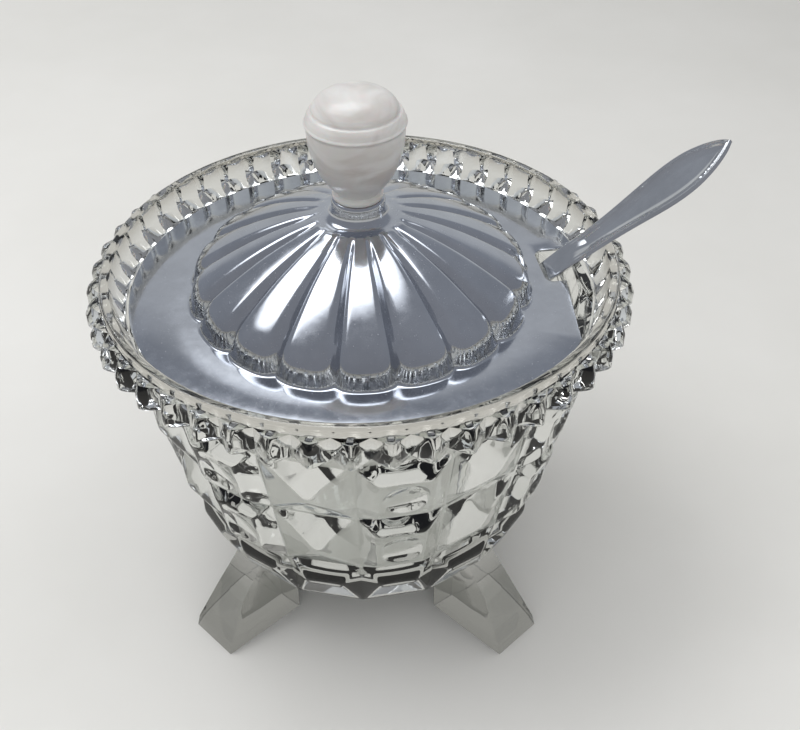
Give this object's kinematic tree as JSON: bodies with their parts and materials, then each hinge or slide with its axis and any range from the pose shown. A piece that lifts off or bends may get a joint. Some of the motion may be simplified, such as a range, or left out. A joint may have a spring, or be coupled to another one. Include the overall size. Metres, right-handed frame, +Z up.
{
  "type": "sugar jar",
  "caption": "Footed pressed-glass sugar jar with a toothed collar, a lift-off fluted chrome lid with a plastic knob, and a spoon that leans out through the lid's notch.",
  "frame": {"origin": "centre of the plane that the four feet stand on, on the jar's axis", "axes": "+Z up along the jar's axis, +X the way the spoon's handle leans"},
  "size_m": [0.1345, 0.116, 0.1223],
  "materials": {
    "clear_glass": "fire-polished pressed glass",
    "lid_chrome": "polished chrome with fine scratches",
    "knob_plastic": "pearly",
    "screw_steel": "plain",
    "spoon_chrome": "polished"
  },
  "bodies": {
    "jar": {"glass_jar": "clear_glass"},
    "lid": {"lid": "lid_chrome", "lid_margin": "lid_chrome", "knob": "knob_plastic", "knob_screw": "screw_steel"},
    "spoon": {"spoon": "spoon_chrome"}
  },
  "joints": [
    {"name": "lid_lift", "type": "slide", "parent": "jar", "child": "lid", "axis": [0, 0, 1], "range_m": [0, 0.08]},
    {"name": "spoon_slide", "type": "slide", "parent": "jar", "child": "spoon", "axis": [0.7373, 0, 0.6756], "range_m": [0, 0.03]}
  ]
}
